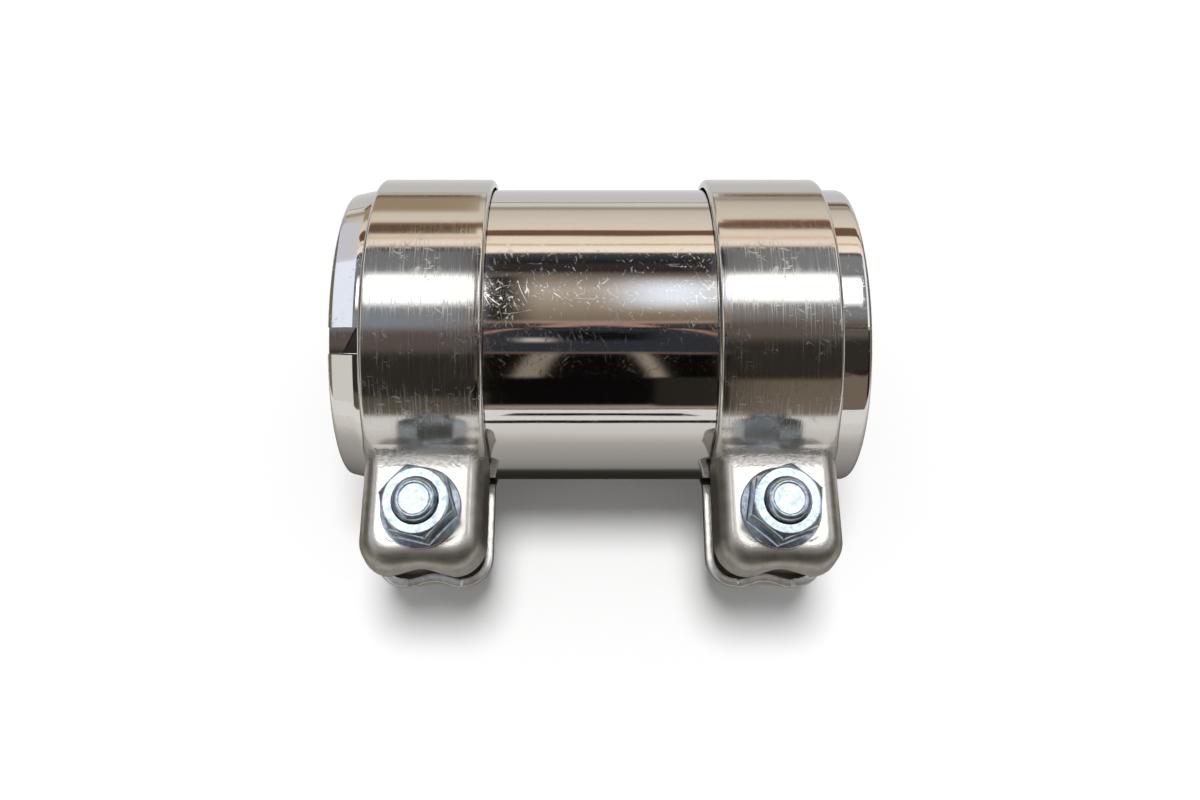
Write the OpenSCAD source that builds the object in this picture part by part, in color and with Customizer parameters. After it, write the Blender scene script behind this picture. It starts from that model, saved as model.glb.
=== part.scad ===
// Exhaust sleeve clamp: a rolled sleeve that joins two pipe ends, held by two bolted bands.
// The sleeve runs along X and its middle is the origin. The clamp lies on its back, as it
// comes to rest on a table: on both bands and on the two bolt heads.

/* [Sleeve] */
// Length of the sleeve
sleeve_l = 125; // [110:1:150]
// Outer diameter of the sleeve
sleeve_d = 75; // [60:0.5:90]
// Wall thickness of the sleeve
sleeve_t = 2; // [1.5:0.1:2.5]
// Length of the coned collar at the left end
collar_l = 6; // [4:0.5:7]
// How far the collar closes in, on the radius
collar_drop = 1.3; // [0.5:0.1:1.6]
// Length of the rolled-over rim at the right end
rim_l = 1.4; // [0.8:0.1:2]
// How far that rim closes in, on the radius
rim_drop = 0.6; // [0.3:0.1:1]
// Width of the slot that lets the left end close on its pipe
slot_w = 6.4; // [4:0.2:8]
// How far that slot ends before the far edge of the left band
slot_cover = 8.5; // [4:0.5:14]
// Angle round the sleeve from the bolts to the slot's middle
slot_turn = 68; // [45:1:90]
// Thickness of the tongue that bridges the slot's mouth
tongue_t = 0.9; // [0.6:0.1:1.2]
// Length of the tongue along its longer edge
tongue_long = 6.2; // [4:0.1:8]
// Length of the tongue along its shorter edge
tongue_short = 3.2; // [2:0.1:4]
// Width of the seam line along the sleeve
seam_w = 0.3; // [0.2:0.05:0.5]
// Depth of the seam line
seam_deep = 0.5; // [0.3:0.05:0.8]

/* [Bands] */
// Width of a band
band_w = 28.4; // [22:0.2:32]
// Thickness of a band
band_t = 2; // [1.5:0.1:2.5]
// Gap all round between a loose band and the sleeve
band_clear = 0.7; // [0.4:0.1:1]
// Distance from the sleeve's left end to the left band
left_inset = 7.4; // [7:0.1:12]
// Distance from the sleeve's right end to the right band
right_inset = 6.8; // [3:0.1:12]

/* [Lugs] */
// Distance between the outer faces of a band's two lugs
lug_span = 37.8; // [32:0.2:44]
// Gap between the rims of the two lugs of a loose band
lug_gap = 18; // [10:0.5:22]
// Width of a lug across its rim
lug_w = 29.5; // [27:0.5:36]
// Distance from the bolt's centre line to the end of a lug
lug_end = 14.1; // [13:0.1:17]
// Outer radius of the bend between the band and a lug
bend_r = 6; // [4:0.5:7]
// Corner radius at the end of a lug
lug_corner = 7.5; // [7:0.5:9]
// Width of the rounded edge along the sides of a lug's face
side_round = 3.5; // [2.5:0.1:4]
// Width of the rounded edge along the end of a lug's face
end_round = 5; // [3:0.1:6]
// Depth of these rounded edges
edge_deep = 4.2; // [3:0.1:5]
// How much the lug's walls spread towards the rim
wall_draft = 0.45; // [0.2:0.05:0.8]
// Height of the arch in the end wall of a lug
arch_h = 1.5; // [0.5:0.1:2]
// How far the rim is cut back inside the arch
arch_back = 2.5; // [1:0.1:4]

/* [Bolts and nuts] */
// Gap between the end of a band's bend and the flange of its nut
flange_gap = 0.75; // [0.4:0.05:2]
// Thread diameter
bolt_d = 10; // [8:1:12]
// How far a bolt's tip stands out of its nut
tip_out = 2.2; // [1.5:0.1:10]
// Chamfer at the tip of a bolt
tip_chamfer = 1.3; // [0.8:0.1:1.8]
// Width across the flats of the nut and of the bolt head
hex_w = 15; // [13:0.5:16]
// Height of a nut with its flange
nut_h = 10; // [8:0.5:12]
// Height of a bolt head with its flange
head_h = 9; // [7:0.5:11]
// Diameter of the flange on a nut or a bolt head
flange_d = 18.5; // [17.5:0.1:20]
// Thickness of the flange at its edge
flange_t = 0.9; // [0.6:0.1:1.4]
// Height of the flange where it meets the hexagon
flange_rise = 2.2; // [1.6:0.1:3]
// How far the round top of a hexagon lies inside its flats
hex_edge = 0.3; // [0.1:0.1:0.8]
// Height of the chamfer on the corners of the hexagon
hex_chamfer = 0.9; // [0.5:0.1:1.2]
// Gap round the bolt in the lug's hole
hole_clear = 0.5; // [0.3:0.1:1]
// Running gap between the nut and the bolt's thread
thread_clear = 0.05; // [0.02:0.01:0.08]
// Angle of the left nut's corners
left_nut_turn = -12; // [-30:1:30]
// Angle of the right nut's corners
right_nut_turn = 15; // [-30:1:30]

/* [Hidden] */
$fn = 96;
eps = 0.01;
// Steps round the edge of a lug's face, and along the arch in its end
round_n = 5;
arch_n = 8;
sleeve_r = sleeve_d / 2;
bore_r = sleeve_r - sleeve_t;
band_in = sleeve_r + band_clear;
band_out = band_in + band_t;
face_z = lug_span / 2;
rim_z = lug_gap / 2;
// The bends end here, where the faces of the lugs start, and the bolt lies as close as its nut can
bend_end = sqrt(pow(band_out + bend_r, 2) - pow(face_z + bend_r, 2));
bolt_y = bend_end + flange_gap + flange_d / 2;
bolt_l = lug_span + nut_h + tip_out;
lug_reach = bolt_y + lug_end;
slot_l = left_inset + band_w - slot_cover;
// Where the walls of a lug start, inside the ring of the band
lug_top = band_out - face_z / 2;
hole_r = bolt_d / 2 + hole_clear;
left_x = left_inset + band_w / 2 - sleeve_l / 2;
right_x = sleeve_l / 2 - right_inset - band_w / 2;
hex_top_r = hex_w / 2 - hex_edge;
// The lowest point of a bolt head, on its top circle, and the tilt that sets it on the table
head_z = face_z + head_h;
head_y = bolt_y + hex_top_r;
rest_tilt = atan2(head_y, head_z) - acos(band_out / norm([head_y, head_z]));

// Turns a clamp from its own frame, bolt along Z, into the way it lies
module lying() rotate([rest_tilt, 0, 0]) children();

// A ring turned about the X axis from a profile of [x, radius] points
module turned(profile) {
  rotate([0, 90, 0])
    rotate([0, 0, 90])
      rotate_extrude()
        polygon([for (p = profile) [p[1], p[0]]]);
}

// Outer and inner outline of the rolled sheet, with the collar and the rim
module sleeve_shell() {
  x0 = -sleeve_l / 2;
  x1 = sleeve_l / 2;
  turned([
    [x0, sleeve_r - collar_drop],
    [x0 + collar_l, sleeve_r],
    [x1 - rim_l, sleeve_r],
    [x1, sleeve_r - rim_drop],
    [x1, bore_r],
    [x0 + collar_l, bore_r],
    [x0, bore_r - collar_drop]
  ]);
}

// Turns a cut that points straight up round the sleeve to the slot
module at_slot() rotate([90 - slot_turn, 0, 0]) children();

module sleeve() {
  x0 = -sleeve_l / 2;
  slant = [
    [x0 + tongue_short, -slot_w / 2 - eps],
    [x0 + tongue_long, slot_w / 2 + eps],
    [x0 + slot_l, slot_w / 2],
    [x0 + slot_l, -slot_w / 2]
  ];
  color("silver")
    lying()
      difference() {
        sleeve_shell();
        // The slot takes the outer half of the sheet away as far as the collar's end
        at_slot()
          difference() {
            translate([x0 - 1, -slot_w / 2, 0])
              cube([slot_l + 1, slot_w, sleeve_d]);
            turned([
              [x0 - 2, 0],
              [x0 - 2, bore_r - collar_drop + tongue_t],
              [x0, bore_r - collar_drop + tongue_t],
              [x0 + collar_l, bore_r + tongue_t],
              [x0 + slot_l + 2, bore_r + tongue_t],
              [x0 + slot_l + 2, 0]
            ]);
          }
        // Past the slanted end of the tongue the slot goes right through
        at_slot()
          linear_extrude(sleeve_d)
            polygon(slant);
        // The seam line runs on from the slot's upper edge to the right end
        at_slot()
          translate([x0 + slot_l - 1, slot_w / 2 - seam_w, sleeve_r - seam_deep])
            cube([sleeve_l, seam_w, sleeve_t]);
      }
}

// Outline of the band and the backs of its lugs: a circle that bends out into two flat cheeks
module cheek_outline(r, half, bend, reach) {
  bend_y = half + bend;
  bend_x = sqrt(pow(r + bend, 2) - pow(bend_y, 2));
  circle(r);
  translate([0, -half])
    square([reach, 2 * half]);
  difference() {
    polygon([[0, 0], [bend_x, -bend_y], [bend_x, bend_y]]);
    for (side = [-1, 1])
      translate([bend_x, side * bend_y])
        circle(bend);
  }
}

// The strap: a strip of one thickness round the sleeve, up to where the lugs' faces start
module strap() {
  rotate([0, 90, 0])
    rotate([0, 0, -90])
      translate([0, 0, -band_w / 2])
        linear_extrude(band_w)
          difference() {
            cheek_outline(band_out, face_z, bend_r, bend_end);
            cheek_outline(band_in, face_z - band_t, bend_r + band_t, lug_reach);
          }
}

// One level of a lug's form: a strip with two round corners and an arch between them at its far end
function lug_level(half_w, top, reach, corner, rise, z) =
  let (flat = half_w - corner, low = corner - reach)
  concat(
    [[half_w, -top, z]],
    [for (a = [0:15:90]) [flat + corner * cos(a), low - corner * sin(a), z]],
    [for (i = [1:arch_n - 1])
      let (x = flat * (1 - 2 * i / arch_n))
      [x, -reach + rise * (1 + cos(180 * x / flat)) / 2, z]],
    [for (a = [90:15:180]) [corner * cos(a) - flat, low - corner * sin(a), z]],
    [[-half_w, -top, z]]
  );

// The pressed form of a lug, shrunk all over by inset, from z = low to its rounded face
module lug_form(inset, low) {
  half_w = lug_w / 2 - inset;
  reach = lug_reach - inset;
  corner = lug_corner - inset;
  top = lug_top - inset;
  wall_z = face_z - edge_deep - inset;
  rounds = [for (k = [0:round_n])
    let (
      turn = 90 * k / round_n,
      side_in = wall_draft + side_round * (1 - cos(turn)),
      end_in = wall_draft + end_round * (1 - cos(turn)),
      rise = arch_h * cos(turn)
    )
    lug_level(half_w - side_in, top, reach - end_in, corner - side_in, rise,
              wall_z + edge_deep * sin(turn))];
  levels = concat([lug_level(half_w, top, reach, corner, arch_h, low)], rounds);
  n = len(levels[0]);
  last = n * (len(levels) - 1);
  points = [for (level = levels) for (p = level) p];
  walls = [for (k = [0:len(levels) - 2], i = [0:n - 1])
    let (a = k * n + i, b = k * n + (i + 1) % n)
    each [[a, b, b + n], [a, b + n, a + n]]];
  caps = [
    [for (i = [n - 1:-1:0]) i],
    [for (i = [0:n - 1]) last + i]
  ];
  polyhedron(points, concat(walls, caps));
}

// One lug: a dish pressed from the sheet, open towards the other lug
module lug() {
  difference() {
    lug_form(0, rim_z);
    lug_form(band_t, rim_z - 1);
    // The rim is cut back along the arch
    translate([lug_corner - lug_w / 2, -lug_reach - 1, rim_z - 1])
      cube([lug_w - 2 * lug_corner, band_t + arch_h + 1, arch_back + 1]);
    // The walls of the dish end just outside the sleeve, inside the thickness of the band
    rotate([0, 90, 0])
      cylinder(r = band_in + band_t / 4, h = lug_w + 2, center = true);
  }
}

module band(x) {
  color("gainsboro")
    translate([x, 0, 0])
      lying()
        difference() {
          union() {
            strap();
            lug();
            mirror([0, 0, 1])
              lug();
          }
          translate([0, -bolt_y, 0])
            cylinder(r = hole_r, h = lug_span + 2, center = true);
        }
}

// A hexagon with a round flange below and chamfered corners above, standing on z = 0
module flanged_hex(height) {
  cone_h = (hex_w / sqrt(3) - hex_top_r) * hex_chamfer;
  intersection() {
    cylinder(d = hex_w / cos(30), h = height, $fn = 6);
    rotate_extrude()
      polygon([
        [0, 0],
        [flange_d, 0],
        [flange_d, height - cone_h - (flange_d - hex_w / sqrt(3)) * hex_chamfer],
        [hex_top_r, height],
        [0, height]
      ]);
  }
  rotate_extrude()
    polygon([
      [0, 0],
      [flange_d / 2 - flange_t / 3, 0],
      [flange_d / 2, flange_t / 3],
      [flange_d / 2, flange_t],
      [hex_w / 2 - 1, flange_rise],
      [0, flange_rise]
    ]);
}

module bolt(x) {
  color("lightsteelblue")
    translate([x, 0, 0])
      lying()
        translate([0, -bolt_y, -face_z]) {
          mirror([0, 0, 1])
            flanged_hex(head_h);
          rotate_extrude()
            polygon([
              [0, -eps],
              [bolt_d / 2, -eps],
              [bolt_d / 2, bolt_l - tip_chamfer],
              [bolt_d / 2 - tip_chamfer, bolt_l],
              [0, bolt_l]
            ]);
        }
}

module nut(x, turn) {
  countersink = bolt_d / 20;
  bore = bolt_d / 2 + thread_clear;
  color("lightsteelblue")
    translate([x, 0, 0])
      lying()
        translate([0, -bolt_y, face_z])
          rotate([0, 0, turn])
            difference() {
              flanged_hex(nut_h);
              translate([0, 0, -1])
                cylinder(r = bore, h = nut_h + 2);
              translate([0, 0, nut_h - countersink])
                cylinder(r1 = bore, r2 = bore + countersink + eps, h = countersink + eps);
            }
}

module left_band() band(left_x);
module right_band() band(right_x);
module left_bolt() bolt(left_x);
module right_bolt() bolt(right_x);
module left_nut() nut(left_x, left_nut_turn);
module right_nut() nut(right_x, right_nut_turn);

sleeve();
left_band();
right_band();
left_bolt();
right_bolt();
left_nut();
right_nut();
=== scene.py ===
import bpy
import math
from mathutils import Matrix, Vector


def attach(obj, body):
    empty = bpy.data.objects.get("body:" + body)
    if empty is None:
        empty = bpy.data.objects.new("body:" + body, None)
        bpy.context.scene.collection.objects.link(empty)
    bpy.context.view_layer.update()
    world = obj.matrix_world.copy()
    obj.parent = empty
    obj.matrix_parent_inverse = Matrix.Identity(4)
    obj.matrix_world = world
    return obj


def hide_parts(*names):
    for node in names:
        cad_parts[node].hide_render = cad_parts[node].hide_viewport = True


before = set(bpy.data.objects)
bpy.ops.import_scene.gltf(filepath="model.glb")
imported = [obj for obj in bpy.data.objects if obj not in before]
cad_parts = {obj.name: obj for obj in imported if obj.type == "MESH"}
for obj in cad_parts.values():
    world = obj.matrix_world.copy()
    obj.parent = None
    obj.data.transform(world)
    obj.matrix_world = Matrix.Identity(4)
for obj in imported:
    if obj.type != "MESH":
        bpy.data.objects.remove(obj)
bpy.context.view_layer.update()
mm = 0.001
restTilt = math.radians(13.465)  # the clamp lies on its bands and its bolt heads


def srgb(r, g, b):
    tones = [c / 255 for c in (r, g, b)]
    return tuple(c / 12.92 if c <= 0.04045 else ((c + 0.055) / 1.055) ** 2.4 for c in tones) + (1.0,)


class Wire:
    def __init__(self, shader, socket):
        self.shader = shader
        self.socket = socket

    def math(self, operation, *others):
        return self.shader.math(operation, self, *others)

    def __add__(self, other): return self.math("ADD", other)
    def __radd__(self, other): return self.shader.math("ADD", other, self)
    def __sub__(self, other): return self.math("SUBTRACT", other)
    def __rsub__(self, other): return self.shader.math("SUBTRACT", other, self)
    def __mul__(self, other): return self.math("MULTIPLY", other)
    def __truediv__(self, other): return self.math("DIVIDE", other)
    def __neg__(self): return self.math("MULTIPLY", -1.0)


class Shader:
    def __init__(self, tree):
        self.tree = tree
        tree.nodes.clear()

    def node(self, kind, settings=None, inputs=None, out=0):
        made = self.tree.nodes.new(kind)
        for key, value in (settings or {}).items():
            if key == "stops":
                ramp = made.color_ramp
                while len(ramp.elements) > 1:
                    ramp.elements.remove(ramp.elements[-1])
                for index, (place, tone) in enumerate(value):
                    stop = ramp.elements[0] if index == 0 else ramp.elements.new(place)
                    stop.position, stop.color = place, tone
            else:
                setattr(made, key, value)
        for key, value in (inputs or {}).items():
            if isinstance(value, Wire):
                self.tree.links.new(value.socket, made.inputs[key])
            else:
                made.inputs[key].default_value = value
        return Wire(self, made.outputs[out]) if len(made.outputs) else None

    def math(self, operation, *values):
        return self.node("ShaderNodeMath", {"operation": operation}, dict(enumerate(values)))

    def smooth(self, value, low, high):
        inputs = {"Value": value, "From Min": low, "From Max": high}
        return self.node("ShaderNodeMapRange", {"interpolation_type": "SMOOTHSTEP"}, inputs)

    def between(self, value, low, high, soft):
        # 1 from low to high, with soft ends
        started = self.smooth(value, low - soft, low + soft)
        return started * (1.0 - self.smooth(value, high - soft, high + soft))

    def mix(self, amount, first, second):
        return self.node("ShaderNodeMix", {"data_type": "RGBA"}, {0: amount, 6: first, 7: second}, out=2)

    def noise(self, vector, scale, detail=3.0):
        return self.node("ShaderNodeTexNoise", None, {"Vector": vector, "Scale": scale, "Detail": detail})

    def stretched(self, vector, x, y, turn=0.0, shift=0.0):
        if turn:
            settings = {"rotation_type": "Z_AXIS"}
            vector = self.node("ShaderNodeVectorRotate", settings, {"Vector": vector, "Angle": turn})
        inputs = {"Vector": vector, "Scale": (x, y, 1.0), "Location": (shift, shift * 0.7, 0.0)}
        return self.node("ShaderNodeMapping", None, inputs)

    def split(self, vector):
        first = self.node("ShaderNodeSeparateXYZ", None, {"Vector": vector})
        return [Wire(self, part) for part in first.socket.node.outputs]

    def sheetPlace(self):
        return self.node("ShaderNodeTexCoord", out=2)

    def solidPlace(self):
        return self.node("ShaderNodeTexCoord", out=3)

    def share(self, name):
        # One of the shares that a piece's points carry
        return self.node("ShaderNodeAttribute", {"attribute_name": name}, out=2)

    def bump(self, height, strength, distance):
        inputs = {"Strength": strength, "Distance": distance, "Height": height}
        return self.node("ShaderNodeBump", None, inputs)

    def glow(self, tone, strength=1.0):
        return self.node("ShaderNodeEmission", None, {"Color": tone, "Strength": strength})

    def matt(self, tone):
        return self.node("ShaderNodeBsdfDiffuse", None, {"Color": tone})

    def shownRays(self):
        # 1 for what the camera sees, directly, in gloss or through something, and 0 for light
        seen = [self.node("ShaderNodeLightPath", out=k) for k in (0, 3, 6)]
        return (seen[0] + seen[1] + seen[2]).math("MINIMUM", 1.0)

    def surface(self, wire, kind="Material"):
        self.node("ShaderNodeOutput" + kind, None, {"Surface": wire})


def newMaterial(name):
    made = bpy.data.materials.new(name)
    made.use_nodes = True
    return made, Shader(made.node_tree)


def finishMaterial(shader, **sockets):
    values = {key.replace("_", " "): value for key, value in sockets.items()}
    shader.surface(shader.node("ShaderNodeBsdfPrincipled", None, values))


def addPiece(name, points, faces, material, body, replaced, sheetMap=None, sharp=35.0, shares=None):
    mesh = bpy.data.meshes.new(name)
    mesh.from_pydata([Vector(p) * mm for p in points], [], faces)
    if sheetMap:
        layer = mesh.uv_layers.new(name="sheet")
        for loop in mesh.loops:
            layer.data[loop.index].uv = sheetMap[loop.vertex_index]
    for key, values in (shares or {}).items():
        mesh.attributes.new(name=key, type="FLOAT", domain="POINT").data.foreach_set("value", values)
    mesh.polygons.foreach_set("use_smooth", [True] * len(mesh.polygons))
    mesh.set_sharp_from_angle(angle=math.radians(sharp))
    mesh.materials.append(material)
    piece = bpy.data.objects.new(name, mesh)
    bpy.context.scene.collection.objects.link(piece)
    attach(piece, body)
    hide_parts(replaced)


def lerp(a, b, amount):
    return a + (b - a) * amount


def ease(amount):
    amount = min(1.0, max(0.0, amount))
    return amount * amount * (3 - 2 * amount)


def lying(point):
    # From a clamp's own frame, bolt along Z and lugs towards -Y, to the way it lies
    x, y, z = point
    c, s = math.cos(restTilt), math.sin(restTilt)
    return (x, y * c - z * s, y * s + z * c)


# Hairlines are sets of how fine, how wide, where the noise starts, turn and how long for their width.
# How fine a grain is, is given in waves per metre, along and across where the two differ.
sleeveFinish = {
    "tone": srgb(205, 201, 196), "roughness": 0.035, "hazeRoughness": 0.02, "wave": 0.05,
    "scratchTone": srgb(244, 245, 248), "scratchRoughness": 0.36, "leastWorn": 0.15,
    "boreShadeTone": srgb(96, 93, 90), "boreRoughness": 0.3,
    "nearBands": (0.005, 0.026), "reachedFrom": (0.6, 1.1), "reachedTo": (1.5, 1.66),
    "patches": 120, "fine": (2200, 1500), "haze": 25, "rolled": (90, 14), "rolledWide": (25, 9),
    "hairlines": [(380, 0.022, 1.0, 0.4, 6.0), (560, 0.03, 4.0, -0.9, 3.0), (300, 0.014, 8.0, 1.5, 3.0),
                  (800, 0.04, 12.0, 0.9, 3.0), (640, 0.03, 17.0, 0.1, 3.0)],
}
bandFinish = {
    "tone": srgb(200, 196, 190), "roughness": 0.1,
    "scratchTone": srgb(236, 238, 240), "streakRoughness": 0.34,
    "faceRoughness": 0.19, "faceMetallic": 0.8, "roundRoughness": 0.42, "roundTone": srgb(156, 151, 141),
    "cutHighlightTone": srgb(248, 248, 246), "cutDull": srgb(206, 204, 200), "cutPolish": 0.24, "cutMetallic": 0.6,
    "crinkle": 26.0, "grain": 0.00002,
    "streaks": (90, 3200), "worn": 110, "fine": 1900, "creases": (1500, 900), "mottle": 420, "torn": 600,
    "hairlines": [(500, 0.05, 2.0, 0.9, 3.0), (320, 0.035, 5.0, -0.6, 3.0), (800, 0.06, 9.0, 1.5, 3.0)],
}
zincFinish = {
    "tone": srgb(204, 210, 216), "blue": srgb(134, 150, 164), "metallic": 0.93,
    "roughness": 0.2, "cloudRoughness": 0.15, "grain": 0.00003, "clouds": 500, "blues": 900,
}


def hairlines(shader, place, sets):
    # Thin curved lines where a smooth noise passes its middle, broken up by a second noise
    lines = None
    for scale, wide, seed, turn, long in sets:
        laid = shader.stretched(place, scale / long, scale, turn, seed)
        fromLine = (shader.noise(laid, 1.0, 1.0) - 0.5).math("ABSOLUTE")
        broken = shader.smooth(shader.noise(laid, 1.7, 1.0), 0.55, 0.68)
        one = (1.0 - shader.smooth(fromLine, wide * 0.3, wide)) * broken
        lines = lines.math("MAXIMUM", one) if lines else one
    return lines


def sleeveSteel():
    look = sleeveFinish
    made, shader = newMaterial("polishedSteel")
    place = shader.sheetPlace()
    lines = hairlines(shader, place, look["hairlines"])
    # Most wear is close to the bands, where they rub, and on the side that hands and tools reach
    along = shader.split(place)[1]
    fromMiddle = (along.math("ABSOLUTE") - 0.004).math("ABSOLUTE")
    nearBands = shader.smooth(fromMiddle, *look["nearBands"])
    patches = shader.smooth(shader.noise(place, look["patches"], 4.0), 0.4, 0.6)
    y, z = shader.split(shader.solidPlace())[1:3]
    angle = z.math("ARCTAN2", -y)
    reached = shader.smooth(angle, *look["reachedFrom"])
    reached = reached * (1.0 - shader.smooth(angle, *look["reachedTo"]))
    handled = reached * (1.0 - look["leastWorn"]) + look["leastWorn"]
    worn = (nearBands * 0.15 + 0.75) * (patches * 0.5 + 0.4) * handled
    fine = shader.noise(shader.stretched(place, *look["fine"], 0.5), 1.0, 4.0)
    scuffs = shader.smooth(fine, 0.5, 0.75) * patches * handled
    scratch = (lines * worn).math("MAXIMUM", scuffs * 0.3)
    haze = shader.noise(place, look["haze"], 5.0)
    bore = shader.share("bore")
    roughness = look["roughness"] + scratch * look["scratchRoughness"] + haze * look["hazeRoughness"]
    roughness = roughness + bore * look["boreRoughness"]
    tone = shader.mix(scratch * 0.5, look["tone"], look["scratchTone"])
    # Painted shade: the bore and the tongue's hidden end take a dark, dull tone
    tone = shader.mix(bore, tone, look["boreShadeTone"])
    rolled = shader.noise(shader.stretched(place, *look["rolled"]), 1.0, 2.0)
    rolled = rolled + shader.noise(shader.stretched(place, *look["rolledWide"]), 1.0, 1.0) * 2.0
    normal = shader.bump(rolled, look["wave"], 0.001)
    finishMaterial(shader, Base_Color=tone, Metallic=1.0, Roughness=roughness, Normal=normal)
    return made


def bandSteel():
    look = bandFinish
    made, shader = newMaterial("satinSteel")
    place, solid = shader.sheetPlace(), shader.solidPlace()
    pressed, creased, rubbed = [shader.share(name) for name in ("pressed", "creased", "rubbed")]
    cut, rounded = shader.share("cut"), shader.share("rounded")
    streaks = shader.noise(shader.stretched(place, *look["streaks"]), 1.0, 3.0)
    streaks = shader.smooth(streaks, 0.46, 0.74)
    lines = hairlines(shader, place, look["hairlines"])
    worn = shader.smooth(shader.noise(place, look["worn"], 3.0), 0.42, 0.62)
    scratch = (lines * worn * 0.8).math("MAXIMUM", streaks * (worn * 0.5 + 0.4)) * rubbed
    roughness = look["roughness"] + scratch * look["streakRoughness"] * (1.0 - pressed)
    roughness = roughness + pressed * (look["faceRoughness"] - look["roughness"])
    roughness = roughness + rounded * (look["roundRoughness"] - look["faceRoughness"])
    roughness = roughness - cut * look["cutPolish"]
    grain = shader.noise(solid, look["fine"], 3.0)
    crinkle = shader.noise(shader.stretched(place, *look["creases"]), 1.0, 5.0)
    height = grain * (pressed * 0.5 + rounded * 1.5)
    height = height + crinkle * creased * look["crinkle"] + scratch * -0.3
    mottled = shader.smooth(shader.noise(solid, look["mottle"], 4.0), 0.3, 0.7) * 0.35 + 0.65
    dulled = (rounded + pressed * 0.12).math("MINIMUM", 1.0) * mottled
    tone = shader.mix(dulled, look["tone"], look["roundTone"])
    tone = shader.mix(scratch * 0.3, tone, look["scratchTone"])
    # Cut edges take a near-white, partly matt tone: their own bright shear, with a painted highlight
    torn = shader.smooth(shader.noise(solid, look["torn"], 4.0), 0.3, 0.8)
    tone = shader.mix(cut, tone, shader.mix(torn, look["cutHighlightTone"], look["cutDull"]))
    metallic = 1.0 - cut * (1.0 - look["cutMetallic"])
    metallic = metallic - pressed * (1.0 - rounded) * (1.0 - look["faceMetallic"])
    normal = shader.bump(height, 1.0, look["grain"])
    finishMaterial(shader, Base_Color=tone, Metallic=metallic, Roughness=roughness, Normal=normal)
    return made


def zincPlate():
    look = zincFinish
    made, shader = newMaterial("zincPlate")
    place = shader.solidPlace()
    cloudy = shader.noise(place, look["clouds"], 4.0)
    blue = shader.smooth(shader.noise(place, look["blues"], 4.0), 0.25, 0.75) * 0.5 + 0.35
    tone = shader.mix(blue, look["tone"], look["blue"])
    roughness = look["roughness"] + (cloudy - 0.5) * look["cloudRoughness"]
    normal = shader.bump(cloudy, 1.0, look["grain"])
    metallic = look["metallic"]
    finishMaterial(shader, Base_Color=tone, Metallic=metallic, Roughness=roughness, Normal=normal)
    return made


sleeveMaterial, bandMaterial, zincMaterial = sleeveSteel(), bandSteel(), zincPlate()
print("metals made")

# Sleeve: a tube whose coned collar opens in a slot

sleeve = {
    "length": 125.0, "radius": 37.5, "wall": 2.0,
    "collarLong": 6.0, "collarDrop": 1.3, "rimLong": 1.4, "rimDrop": 0.6,
    "slotAt": 54.535, "slotWide": 6.4, "slotLong": 27.3,
    "tongueThick": 0.9, "tongueLong": 6.2, "tongueShort": 3.2, "tongueStep": 0.5, "tongueHidden": 9.0,
    "seamWide": 0.3, "seamDeep": 0.25, "seamBeside": 1.2,
    "lip": [(0.0, -0.35), (0.1, -0.12), (0.35, 0.06)],  # the collar's rounded edge: how far along and out
    "foldRound": 0.5,
}
sleeveSteps = {"collar": 8, "fold": 4, "slot": 12, "tube": 60, "rim": 8, "round": 300,
               "tongueAcross": 8, "tongueAlong": 12, "tongueFull": 8}


def sleeveRows():
    # Places along the sleeve and the outer radius there, from the collar to the rim
    x0, x1 = -sleeve["length"] / 2, sleeve["length"] / 2
    r, drop, fold = sleeve["radius"], sleeve["collarDrop"], x0 + sleeve["collarLong"]
    bend, count = sleeve["foldRound"], sleeveSteps
    rows = [(x0 + along, r - drop + out) for along, out in sleeve["lip"]]
    slope = drop / sleeve["collarLong"]
    for i in range(1, count["collar"] + 1):
        x = lerp(x0 + sleeve["lip"][-1][0], fold - bend, i / count["collar"])
        rows.append((x, r - (fold - x) * slope))
    for i in range(1, count["fold"] + 1):
        left = 2 * bend * (1 - i / count["fold"])
        rows.append((fold + bend - left, r - slope * left ** 2 / (4 * bend)))
    slotEnd, rimAt = x0 + sleeve["slotLong"], x1 - sleeve["rimLong"]
    for name, start, end in (("slot", fold + bend, slotEnd), ("tube", slotEnd, rimAt)):
        rows += [(lerp(start, end, i / count[name]), r) for i in range(1, count[name] + 1)]
    for i in range(1, count["rim"] + 1):
        turn = math.pi / 2 * i / count["rim"]
        out = r - sleeve["rimDrop"] * (1 - math.cos(turn))
        rows.append((rimAt + sleeve["rimLong"] * math.sin(turn), out))
    return rows


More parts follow.
